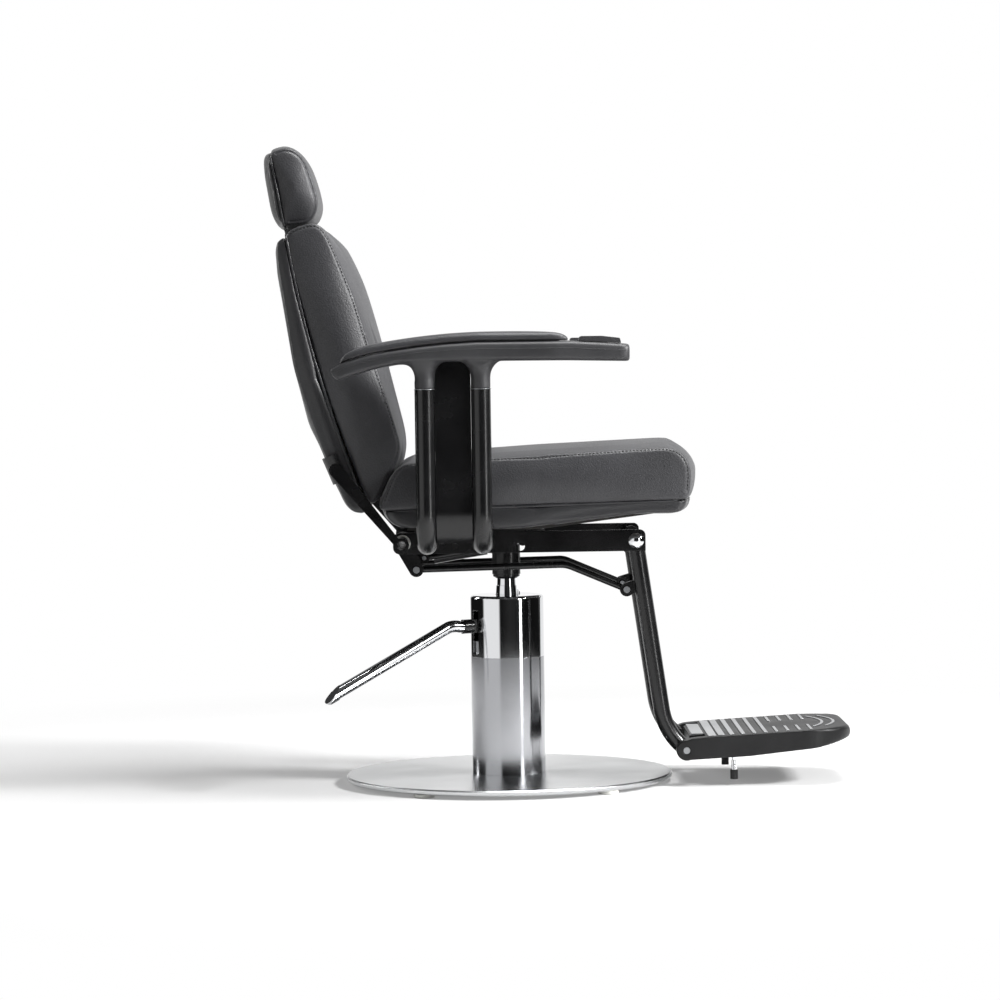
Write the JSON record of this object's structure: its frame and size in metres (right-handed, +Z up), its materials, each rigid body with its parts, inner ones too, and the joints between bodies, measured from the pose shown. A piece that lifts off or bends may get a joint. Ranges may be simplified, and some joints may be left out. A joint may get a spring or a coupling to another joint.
{
  "type": "barber chair",
  "caption": "Hydraulic barber chair with a reclining back, linked leg rest, flip-up footrest, sliding headrest and padded arms on a pump column and floor disc.",
  "frame": {"origin": "on the floor, under the column's axis, at the centre glide's underside", "axes": "+Z up, +X the way the sitter faces, +Y to the sitter's left"},
  "size_m": [1.0616, 0.6636, 1.1723],
  "materials": {
    "brushed steel": "brushed round the axis",
    "polished chrome": "mirror polished",
    "bare steel": "plain",
    "black paint": "satin powder coat",
    "bronze": "turned",
    "black rubber": "matte",
    "pale nylon": "satin",
    "black leather": "fine grain, stitched",
    "black leather cover": "fine grain, light piping",
    "moulded black": "fine texture",
    "plywood": "black-stained birch",
    "black casting": "satin black coat",
    "bright aluminium": "satin"
  },
  "bodies": {
    "base": {"base_plate": "brushed steel", "base_glides": "pale nylon", "column_tube": "brushed steel", "column_cap": "polished chrome", "pump_tank": "bare steel", "pump_barrel": "bare steel", "pump_head": "bare steel", "guide_bush": "bronze", "fill_screw": "polished chrome", "pedal_pin": "bare steel"},
    "pedal": {"pedal_arm": "black paint", "pedal_tube": "polished chrome"},
    "plunger": {"pump_plunger": "polished chrome"},
    "ram": {"piston_rod": "polished chrome", "piston_seal": "black rubber"},
    "seat": {"swivel_hub": "black paint", "left_rail": "black paint", "right_rail": "black paint", "cross_plate": "black paint", "hinge_bushes": "pale nylon", "frame_bolts": "bare steel", "seat_plate": "black paint", "seat_board": "plywood", "seat_skirt": "black leather cover", "seat_cushion": "black leather", "left_arm_posts": "black paint", "right_arm_posts": "black paint", "left_arm_panel": "black paint", "right_arm_panel": "black paint", "left_arm_body": "moulded black", "right_arm_body": "moulded black", "left_arm_pad": "black leather", "right_arm_pad": "black leather", "left_arm_cap": "moulded black", "right_arm_cap": "moulded black", "spring_anchor": "black paint", "front_pivots": "polished chrome", "leg_stops": "black rubber"},
    "back": {"hinge_tube": "black paint", "back_bow": "black paint", "link_levers": "black paint", "spring_yoke": "black paint", "lever_pins": "bare steel", "back_board": "plywood", "back_shell": "black leather cover", "back_cushion": "black leather", "headrest_channel": "bare steel"},
    "headrest": {"headrest_post": "bare steel", "headrest_shell": "black leather cover", "headrest_cushion": "black leather"},
    "links": {"link_rods": "black paint"},
    "gas_cylinder": {"gas_cylinder": "black paint"},
    "gas_rod": {"gas_rod": "polished chrome"},
    "legs": {"leg_frame": "black paint", "lug_pins": "bare steel"},
    "footrest": {"footrest_body": "black casting", "footrest_tread": "bright aluminium", "footrest_pins": "bare steel", "foot_pegs": "polished chrome", "peg_tips": "black rubber"}
  },
  "joints": [
    {"name": "lift", "type": "slide", "parent": "base", "child": "ram", "axis": [0, 0, 1], "range_m": [0, 0.15]},
    {"name": "swivel", "type": "hinge", "parent": "ram", "child": "seat", "pos_m": [0, 0, 0.375], "axis": [0, 0, 1], "range_deg": [-115, 175]},
    {"name": "recline", "type": "hinge", "parent": "seat", "child": "back", "pos_m": [-0.188, 0, 0.449], "axis": [0, -1, 0], "range_deg": [0, 40]},
    {"name": "leg_hinge", "type": "hinge", "parent": "seat", "child": "legs", "pos_m": [0.234, 0, 0.448], "axis": [0, -1, 0], "range_deg": [0, 15.3]},
    {"name": "link_hinge", "type": "hinge", "parent": "back", "child": "links", "pos_m": [-0.164, 0, 0.399], "axis": [0, -1, 0], "range_deg": [-44.2, 0]},
    {"name": "spring_rear_hinge", "type": "hinge", "parent": "back", "child": "gas_cylinder", "pos_m": [-0.15, -0.06, 0.418], "axis": [0, -1, 0], "range_deg": [-49.7, 0]},
    {"name": "spring_front_hinge", "type": "hinge", "parent": "seat", "child": "gas_rod", "pos_m": [0.03, -0.06, 0.447], "axis": [0, -1, 0], "range_deg": [-9.7, 0]},
    {"name": "footrest_flip", "type": "hinge", "parent": "legs", "child": "footrest", "pos_m": [0.32, 0, 0.067], "axis": [0, -1, 0], "range_deg": [0, 75]},
    {"name": "headrest_slide", "type": "slide", "parent": "back", "child": "headrest", "axis": [-0.2588, 0, 0.9659], "range_m": [0, 0.09]},
    {"name": "pedal_hinge", "type": "hinge", "parent": "base", "child": "pedal", "pos_m": [-0.03291, -0.019, 0.29], "axis": [0.5, -0.866, 0], "range_deg": [0, 16], "stiffness_Nm_per_rad": 20, "springref_deg": -20.05},
    {"name": "plunger_slide", "type": "slide", "parent": "base", "child": "plunger", "axis": [0, 0, -1], "range_m": [0, 0.0056]}
  ],
  "couplings": [
    {"joint": "leg_hinge", "follows": "recline", "ratio": 0.382},
    {"joint": "link_hinge", "follows": "recline", "ratio": -1.104},
    {"joint": "spring_rear_hinge", "follows": "recline", "ratio": -1.242},
    {"joint": "spring_front_hinge", "follows": "recline", "ratio": -0.242},
    {"joint": "plunger_slide", "follows": "pedal_hinge", "m_per_rad": 0.0195}
  ]
}
